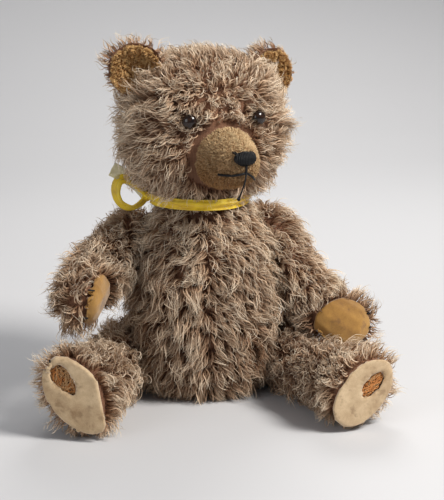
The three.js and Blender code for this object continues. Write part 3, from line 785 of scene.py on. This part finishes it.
def satin(name, deep, bright, see_through):
    """Satin: fine lengthwise ribs, whose lighter bands in the colour are painted sheen over the dyed threads,
    with soft lighter and darker patches.
    """
    material, tree, shader = dyed(name, bright, 0.34)
    along = made(tree, "ShaderNodeUVMap", uv_map="weave")
    rib = made(tree, "ShaderNodeTexWave", bands_direction="Y", Scale=9, Distortion=1.2, Detail=2)
    link(tree, along.outputs["UV"], rib.inputs["Vector"])
    value = sum_of(tree, rib.outputs["Fac"], 0.4, noise(tree, 160, 3))
    # The ribs' lighter bands in the colour are painted sheen; their relief is real.
    link(tree, ramp(tree, [(0.3, deep), (0.95, bright)], value), shader.inputs["Base Color"])
    relief(tree, shader, rib.outputs["Fac"], 0.3, 0.0002)
    shader.inputs["Specular IOR Level"].default_value = 0.6
    shader.inputs["Sheen Weight"].default_value = 0.2
    shader.inputs["Alpha"].default_value = 1 - see_through
    return material


def smooth_route(points, steps):
    """Points along a smooth curve through the given ones, by Catmull and Rom's rule."""
    points = np.array(points, float)
    ends = np.vstack([2 * points[0] - points[1], points, 2 * points[-1] - points[-2]])
    route = []
    for a, b, c, d in zip(ends, ends[1:], ends[2:], ends[3:]):
        for t in np.arange(steps) / steps:
            route.append(0.5 * (2 * b + (c - a) * t + (2 * a - 5 * b + 4 * c - d) * t * t
                                + (3 * b - a - 3 * c + d) * t**3))
    return np.vstack([route, points[-1]])


def ribbon(name, middle, across, out, wide, creases, fabric):
    """A strip of ribbon along a route, with the way its width runs and the way it bulges at each point;
    creases fold it lengthwise, so that it looks narrower than it was cut."""
    form = bmesh.new()
    uv = form.loops.layers.uv.new("weave")
    count = len(middle) - 1
    bmesh.ops.create_grid(form, x_segments=count, y_segments=12, size=0.5)
    rng = np.random.default_rng(len(middle))
    wander = np.cumsum(rng.normal(size=count + 1)) * 0.05
    for vert in form.verts:
        along, side = vert.co.x + 0.5, vert.co.y
        for loop in vert.link_loops:
            loop[uv].uv = (along * count / 4, side + 0.5)
        i = min(int(round(along * count)), count)
        fold = creases * math.cos((side * 2 + 0.25 * math.sin(wander[i] * 3)) * math.pi * 1.5)
        narrow = math.sqrt(max(1 - (creases * 9 / wide) ** 2 * 0.25, 0.25))
        vert.co = Vector(middle[i]) + Vector(across[i]) * side * wide * narrow + Vector(out[i]) * fold
    obj = shown(name, mesh_of(form, name, fabric))
    wall = obj.modifiers.new("Solidify", "SOLIDIFY")
    wall.thickness, wall.offset = 0.00018, 0
    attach(obj, "torso")
    return obj


yellow_satin = satin("yellow_satin", (0.6, 0.34, 0.008), (1.0, 0.74, 0.03), 0)
RIBBON_WIDE, FADED_END_WIDE = 0.010, 0.011
faded_satin = satin("faded_satin", (0.6, 0.5, 0.16), (0.88, 0.8, 0.45), 0.35)
turns = np.linspace(0, 2 * math.pi, 97)
neck_line = np.stack([neck.x - 0.003 - 0.0385 * np.cos(turns), neck.y + 0.0351 * np.sin(turns),
                      0.1511 + 0.0004 * np.sin(turns + 0.6) - 0.0003 * np.cos(3 * turns)], 1)
outward = unit(np.stack([-np.cos(turns), np.sin(turns), turns * 0], 1))
tall = unit(np.stack([0.3 * outward[:, 0], 0.3 * outward[:, 1], turns * 0 + 1], 1))
band = ribbon("neck_ribbon_band", neck_line, tall, outward, RIBBON_WIDE, 0.0011, yellow_satin)
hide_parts("neck_ribbon")

tie = Vector((neck.x - 0.0419, neck.y + 0.001, 0.1514))
round_loop = ((0, 0, 0), (-6, -1.5, -6), (-13.5, -2.5, -8.5), (-21, -1.5, -4.5), (-23.8, 0.5, 4),
              (-20.5, 2.5, 12), (-12, 3.5, 11.5), (-5, 2.5, 6), (0, 0.8, 1.6))
loop_line = smooth_route([tie + Vector(p) / 1000 for p in round_loop], 6)
face_out = unit(np.gradient(loop_line, axis=0))
width_way = unit(np.cross(face_out, np.array([0.12, -1, 0.1])) + np.array([0, -1.3, 0.1]))
bulge_way = unit(np.cross(face_out, width_way))
loop = ribbon("neck_ribbon_loop", loop_line, width_way, bulge_way, RIBBON_WIDE, 0.0010, yellow_satin)

up_and_out = ((0, 2.5, 0.5), (-6, 6, 7), (-12, 7, 11.5), (-17.5, 6, 15), (-22.5, 4.5, 18), (-26.5, 3, 20.5))
tail_line = smooth_route([tie + Vector(p) / 1000 for p in up_and_out], 5)
run = unit(np.gradient(tail_line, axis=0))
width_way = unit(np.cross(run, np.array([0.1, -1, 0.15])))
bulge_way = unit(np.cross(run, width_way))
tail = ribbon("neck_ribbon_end", tail_line, width_way, bulge_way, FADED_END_WIDE, 0.0003, faded_satin)

form = bmesh.new()
bmesh.ops.create_uvsphere(form, u_segments=20, v_segments=14, radius=0.0040)
for vert in form.verts:
    turn = math.atan2(vert.co.y, vert.co.x)
    vert.co *= 1 + 0.09 * math.sin(turn * 3 + vert.co.z * 900)
place = Matrix.Translation(tie + Vector((-0.0006, 0, -0.0004))) @ Matrix.Diagonal((0.8, 1.05, 0.95, 1))
bmesh.ops.transform(form, matrix=place, verts=form.verts)
ribbon_knot = shown("neck_ribbon_knot", mesh_of(form, "neck_ribbon_knot", yellow_satin))
ribbon_knot.data.uv_layers.new(name="weave")
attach(ribbon_knot, "torso")

# ---- Arms
# Each arm is a curved tube of the same mohair, stuffed hard and hung on a card disc joint at the shoulder.
# Its palm is a pad of yellow felt sewn in flat, with black claw stitches over the edge.


def felt(name, dark, light, stain, cover):
    """Felt: matted fibres, paler and darker in soft patches, with a few darker stains."""
    material, tree, shader = dyed(name, light, 0.95)
    fibre = noise(tree, 1500, 3, Distortion=1.5)
    value = sum_of(tree, fibre, 0.3, noise(tree, 55, 6, Roughness=0.65))
    spot = noise(tree, 130, 4, Roughness=0.6)
    mix = made(tree, "ShaderNodeMix", data_type="RGBA")
    link(tree, ramp(tree, [(cover, (0, 0, 0)), (cover + 0.12, (0.6, 0.6, 0.6))], spot), mix.inputs[0])
    link(tree, ramp(tree, [(0.45, dark), (0.85, light)], value), mix.inputs[6])
    mix.inputs[7].default_value = (*stain, 1)
    link(tree, mix.outputs[2], shader.inputs["Base Color"])
    relief(tree, shader, value, 0.5, 0.0004)
    shader.inputs["Sheen Weight"].default_value = 0.3
    shader.inputs["Sheen Roughness"].default_value = 0.6
    return material


def lie_of(node, tip):
    """A flat node's middle, the way it faces, the way it is long, towards tip, and the way it is wide."""
    mesh = nodes[node].data
    a, b, c = numbers(mesh.vertices, "co")[triangles(mesh)].transpose(1, 0, 2)
    area = np.linalg.norm(np.cross(b - a, c - a), axis=1)[:, None]
    spots = (a + b + c) / 3
    middle = (spots * area).sum(0) / area.sum()
    spread = ((spots - middle) * area).T @ (spots - middle)
    axes = np.linalg.eigh(spread)[1]
    face, long = Vector(axes[:, 0]), Vector(axes[:, 2])
    inside = sum(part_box(node.rsplit("_", 1)[0] + "_stuffing"), Vector()) / 2
    if face.dot(Vector(middle) - inside) < 0:
        face = -face
    if long.dot(Vector(tip)) < 0:
        long = -long
    return Vector(middle), face, long, face.cross(long)


FELT_THICK = 0.0016


def turned(x, y, slant):
    """A place on a panel as seen by a hole that slants across it."""
    return x * math.cos(slant) - y * math.sin(slant), x * math.sin(slant) + y * math.cos(slant)


def felt_panel(name, node, lie, half_wide, half_long, fabric, body, slot, under, hole=None):
    """An oval of felt laid on a stuffed part: a round grid pressed onto it, thickened, with softened edges.
    hole is the place along and across, half length, half width and slant of a worn hole."""
    middle, face, long, wide = lie
    tree = tree_of(node)
    rng = np.random.default_rng(len(name))
    form = bmesh.new()
    bmesh.ops.create_grid(form, x_segments=44, y_segments=44, size=1)
    for vert in form.verts:
        x, y = vert.co.x, vert.co.y
        vert.co = (half_wide * x * math.sqrt(1 - y * y / 2), half_long * y * math.sqrt(1 - x * x / 2), 0)
        vert.co *= 1 + 0.012 * math.sin(5 * math.atan2(y, x) + 1) + 0.006 * math.sin(11 * math.atan2(y, x))
    if hole:
        up, side, tall, broad, slant = hole

        def in_hole(co):
            x, y = turned(co.x - side, co.y - up, slant)
            round_it = math.atan2(y / tall, x / broad)
            frayed = 1 + 0.07 * math.sin(3 * round_it) + 0.06 * math.sin(7 * round_it + 1)
            frayed += 0.03 * math.sin(16 * round_it)
            return math.hypot(x / broad, y / tall) / frayed

        bmesh.ops.delete(form, geom=[v for v in form.verts if in_hole(v.co) < 1], context="VERTS")
        for vert in form.verts:
            if vert.is_boundary and in_hole(vert.co) < 1.5:
                for _ in range(3):
                    out = in_hole(vert.co)
                    centre = Vector((side, up, 0))
                    vert.co = centre + (vert.co - centre) / out
    for vert in form.verts:
        spot = middle + wide * vert.co.x + long * vert.co.y + face * 0.03
        hit = tree.ray_cast(spot, -face)[0]
        if hit is None or (hit - middle).dot(face) < -0.015:
            hit = tree.find_nearest(middle + wide * vert.co.x + long * vert.co.y)[0]
        vert.co = hit
    for _ in range(4):
        bmesh.ops.smooth_vert(form, verts=[v for v in form.verts if not v.is_boundary], factor=0.5,
                              use_axis_x=True, use_axis_y=True, use_axis_z=True)
    for vert in form.verts:
        turn_down = 0.0007 if vert.is_boundary else 0
        vert.co += face * (0.0004 * rng.uniform(0.9, 1.1) - turn_down)
    bmesh.ops.recalc_face_normals(form, faces=form.faces)
    if sum((f.normal for f in form.faces), Vector()).dot(face) < 0:
        bmesh.ops.reverse_faces(form, faces=form.faces)
    area = sum(f.calc_area() for f in form.faces)
    mesh = mesh_of(form, name, fabric)
    place = numbers(mesh.vertices, "co")
    place += np.array(face) * patches(place, 0.016, 51)[:, None] * 0.00035
    mesh.vertices.foreach_set("co", place.ravel())
    obj = shown(name, mesh)
    wall = obj.modifiers.new("Solidify", "SOLIDIFY")
    wall.thickness, wall.offset = FELT_THICK, -1
    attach(obj, body)
    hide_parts(node)


def claws(name, node, lie, spots, body):
    """Black stitches from the felt over its edge into the pile, each given by how far it is across the
    panel and where it starts and ends along it."""
    middle, face, long, wide = lie
    trees_of = [tree_of(node), tree_of(node.rsplit("_", 1)[0] + "_cover")]
    routes = []
    for across, start, end in spots:
        route = []
        for k in range(5):
            spot = middle + wide * across + long * (start + (end - start) * k / 4) + face * 0.02
            hits = [tree.ray_cast(spot, -face)[0] for tree in trees_of]
            hits = [hit for hit in hits if hit is not None]
            if hits:
                route.append(max(hits, key=lambda hit: hit.dot(face)) + face * 0.0018)
        if len(route) > 1:
            routes.append(route)
    thread_of(name, routes, 0.0012, black_thread, body, sides=3)


yellow_felt = felt("yellow_felt", (0.22, 0.1, 0.015), (0.44, 0.23, 0.042), (0.14, 0.06, 0.016), 0.58)
PALM_HALVES = {"arm_left": (0.0188, 0.0227), "arm_right": (0.0193, 0.0184)}


def under_felt(root, lie, half, inset):
    """Whether a root lies under a felt panel, further in from its edge than inset."""
    middle, face, long, wide = (np.array(v) for v in lie)
    off = root - middle
    oval = np.hypot(off @ wide / (half[0] - inset), off @ long / (half[1] - inset))
    high = off @ face
    return ((oval < 1) & (high > -0.005)) | ((oval < 0.85) & (high > -0.014))


def by_felt(root, lie, half):
    """How near each root is to a felt panel, from 0 away from it to 1 at its edge and under it."""
    middle, face, long, wide = (np.array(v) for v in lie)
    off = root - middle
    oval = np.hypot(off @ wide / half[0], off @ long / half[1])
    near = ((1.5 - oval) / 0.4).clip(0, 1) * ((off @ face + 0.024) / 0.008).clip(0, 1)
    return np.where(under_felt(root, lie, half, 0), 1, near)


def combed_off_felt(root, lie, half, forward, down_limb):
    """Combed down the limb, and beside its felt panel outward from the panel."""
    middle, face, long, wide = (np.array(v) for v in lie)
    off = root - middle
    out = wide * (off @ wide / half[0])[:, None] + long * (off @ long / half[1])[:, None] + face * forward
    near = by_felt(root, lie, half)[:, None]
    return (1 - near) * unit(down_limb) + near * unit(out)


def limb_skin(limb, extra):
    parts = [f"{limb}_cover", f"{limb}_stuffing", f"{limb}_{extra}"]
    skin = skin_round(f"{limb}_skin", parts, 0.004, 0.002, 0.0013)
    skin.data.materials.append(ground_cloth)
    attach(skin, limb)
    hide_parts(f"{limb}_cover", f"{limb}_stuffing")
    return skin


for limb, joint, seed in (("arm_left", "shoulder_left", 61), ("arm_right", "shoulder_right", 62)):
    skin = limb_skin(limb, "pad")
    shoulder = Vector(joints[joint]["pos_m"])
    reach = sum(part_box(limb + "_pad"), Vector()) / 2 - shoulder
    lie = lie_of(limb + "_pad", reach)
    half = PALM_HALVES[limb]
    felt_panel(limb + "_palm", limb + "_pad", lie, *half, yellow_felt, limb, "yellow_felt", skin)
    if limb == "arm_right":
        front = (Vector((0, -1, 0)) + lie[1] * lie[1].y).normalized()
        across_front = (*lie[:2], front, lie[1].cross(front))
        stitches = [(across, 0.0155, 0.0205) for across in (-0.0105, 0.0105)]
        claws(limb + "_claws", limb + "_pad", across_front, stitches, limb)
    else:
        stitches = [(across, 0.0198, 0.0252) for across in (-0.005, 0.0055)]
        claws(limb + "_claws", limb + "_pad", lie, stitches, limb)
    down_arm = np.array(reach.normalized()) + np.array((0, 0, -0.45))
    arm_fur = plant(
        limb + "_fur", skin, limb, long_pile, curly, LOCK_SPACING,
        even(0.0145), lambda root, up: combed_off_felt(root, lie, half, 0.25, down_arm),
        lambda root: 1.65 - 0.6 * by_felt(root, lie, half),
        # Patches of tone, plus painted light: paler where the pile faces up.
        lambda root, up: 0.12 + 0.34 * patches(root, 0.04, 9) + 0.1 * up[:, 2],
        [(limb + "_pad", 0.0007), ("torso_cover", 0.0028)],
        where=lambda root: ~under_felt(root, lie, half, 0.0006), ringlet=ringlets, seed=seed,
    )

# ---- Legs
# The legs are made as the arms are, with big feet whose soles are cream felt. Both soles have worn through
# near the toes, and the wood wool shows in the holes.

cream_felt = felt("cream_felt", (0.37, 0.23, 0.11), (0.67, 0.5, 0.3), (0.24, 0.14, 0.06), 0.54)
straw = twisted("wood_wool_straw", (0.3, 0.09, 0.022), (0.8, 0.36, 0.11), 0.7)
straw_pale = twisted("wood_wool_pale", (0.4, 0.2, 0.08), (0.72, 0.46, 0.22), 0.7)
SOLE_HALVES = {"leg_left": (0.0186, 0.0291), "leg_right": (0.0201, 0.0326)}
STRANDS, HOLE_DEPTH = 130, 0.0045


def hole_in(node, lie, half):
    """Where a sole is worn through: its place along and across, half length, half width and slant."""
    middle, face, long, wide = lie
    gone = []
    for x in np.linspace(-0.85, 0.85, 35):
        for y in np.linspace(-0.85, 0.85, 35):
            spot = middle + wide * x * half[0] + long * y * half[1] + face * 0.03
            if math.hypot(x, y) < 0.85 and tree_of(node).ray_cast(spot, -face, 0.06)[0] is None:
                gone.append((x * half[0], y * half[1]))
    gone = np.array(gone)
    size, axes = np.linalg.eigh(np.cov(gone.T))
    way = axes[:, 1] * np.sign(axes[1, 1])
    side, up = gone.mean(0)
    return up, side, 2 * math.sqrt(size[1]), 2 * math.sqrt(size[0]), math.atan2(way[0], way[1])


hand_rest = sum(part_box("arm_left_pad"), Vector()) / 2
for limb, joint, seed in (("leg_left", "hip_left", 71), ("leg_right", "hip_right", 72)):
    skin = limb_skin(limb, "sole")
    hip = Vector(joints[joint]["pos_m"])
    lie = lie_of(limb + "_sole", (0, 0, 1))
    middle, face, long, wide = lie
    if wide.x < 0:
        wide = -wide
    lie = middle, face, long, wide
    half = SOLE_HALVES[limb]
    hole = hole_in(limb + "_sole", lie, half)
    felt_panel(limb + "_felt", limb + "_sole", lie, *half, cream_felt, limb, "cream_felt", skin, hole)
    if limb == "leg_right":
        stitches = [(across, 0.0295, 0.0350) for across in (-0.004, 0.003)]
        claws(limb + "_claws", limb + "_sole", lie, stitches, limb)

    # The wood wool is pressed back behind the hole, and tangled strands of it fill the hollow.
    up, side, tall, broad, slant = hole
    centre = middle + long * up + wide * side
    place = numbers(skin.data.vertices, "co")
    off = place - np.array(centre)
    x, y = turned(off @ np.array(wide), off @ np.array(long), slant)
    deep = np.exp(-(((x / (broad + 0.003)) ** 2 + (y / (tall + 0.003)) ** 2) ** 2))
    deep *= off @ np.array(face) > -0.02
    skin.data.vertices.foreach_set("co", (place - np.array(face) * deep[:, None] * HOLE_DEPTH).ravel())
    rng = np.random.default_rng(seed)
    strands = {"dark": [], "pale": []}
    usual_way, pale_share = {"leg_left": (0.3, 0.25), "leg_right": (1.0, 0.6)}[limb]
    for _ in range(STRANDS):
        turn, out = rng.uniform(0, 6.283), math.sqrt(rng.uniform()) * 1.08
        x0, y0 = broad * out * math.cos(turn), tall * out * math.sin(turn)
        way = rng.normal(usual_way, 0.7)
        size, bow_out = rng.uniform(0.003, 0.0065), rng.uniform(-0.0022, 0.0022)
        depth = rng.uniform(0, 0.0036)
        route = []
        for k in np.linspace(-1, 1, 5):
            x = x0 + math.sin(way) * size * k + math.cos(way) * bow_out * (1 - k * k)
            y = y0 + math.cos(way) * size * k - math.sin(way) * bow_out * (1 - k * k)
            edge = math.hypot(x / broad, y / tall)
            if edge > 1.05:
                x, y = x * 1.05 / edge, y * 1.05 / edge
            u, v = turned(x, y, -slant)
            spot = centre + wide * u + long * v
            hit = tree_of(limb + "_stuffing").ray_cast(spot + face * 0.03, -face)[0]
            low = hit if hit is not None else spot - face * 0.003
            route.append(low + face * (0.0016 - depth * 0.6 - 0.0012 * max(edge - 0.7, 0)))
        strands["pale" if rng.uniform() < pale_share else "dark"].append(route)
    thread_of(limb + "_straw_dark", strands["dark"], 0.0006, straw, limb, steps=2)
    thread_of(limb + "_straw_pale", strands["pale"], 0.0005, straw_pale, limb, steps=2)
    down_leg = np.array((middle - hip).normalized()) + np.array((0, 0, -0.3))

    def leg_length(root):
        """Shorter by the sole, and pressed flat where the left hand lies over it."""
        by_sole = (1 - np.linalg.norm(root - np.array(middle), axis=1) / 0.06).clip(0, 1)
        from_hand = np.linalg.norm(root - np.array(hand_rest), axis=1)
        return (0.0148 - 0.0035 * by_sole) * (0.3 + 0.7 * ((from_hand - 0.03) / 0.014).clip(0, 1))

    def leg_tone(root, up):
        """Darker toward the hip as painted shade, most on the left leg, and lighter where the pile faces up
        as painted light.
        Pale round the sole: the pile's own colour, lifted further as painted light on the shaded fringe.
        """
        from_hip = (1 - np.linalg.norm(root - np.array(hip), axis=1) / 0.085).clip(0, 1)
        # Painted shade toward the hip, deepest on the left leg.
        hip_shade = {"leg_left": 0.75, "leg_right": 0.25}[limb] * from_hip
        rim = by_felt(root, lie, half)
        # up[:, 2] is painted light on pile that faces up; the rim lift is partly painted light.
        return 0.3 * patches(root, 0.035, 10) + 0.1 * up[:, 2] + 0.8 * rim - hip_shade - 0.05

    leg_fur = plant(
        limb + "_fur", skin, limb, long_pile, curly, 0.00215,
        leg_length, lambda root, up: combed_off_felt(root, lie, half, 0.8, down_leg),
        lambda root: 1.6 - 0.65 * by_felt(root, lie, half),
        leg_tone, [("torso_cover", 0.0028), ("arm_left_pad", 0.006)],
        where=lambda root: ~under_felt(root, lie, half, 0.0014), ringlet=ringlets, seed=seed,
    )

# ---- Joints
# Each limb and the head turn on two discs of hardboard, one inside each part, held together by a steel
# cotter pin through a washer on either side. They are shut in the stuffing.

board, tree, shader = dyed("joint_board", (0.25, 0.14, 0.07), 0.8)
fibre = ramp(tree, [(0.3, (0.12, 0.06, 0.03)), (0.7, (0.3, 0.18, 0.09))], noise(tree, 600, 5))
link(tree, fibre, shader.inputs["Base Color"])
steel, tree, shader = dyed("joint_steel", (0.42, 0.42, 0.43), 0.4)
shader.inputs["Metallic"].default_value = 1
rust = ramp(tree, [(0.5, (0.42, 0.42, 0.43)), (0.75, (0.2, 0.1, 0.05))], noise(tree, 400, 4))
link(tree, rust, shader.inputs["Base Color"])
for name, node in nodes.items():
    if "_joint_" in name:
        node.data.materials.clear()
        node.data.materials.append(board if name.endswith("disc") else steel)
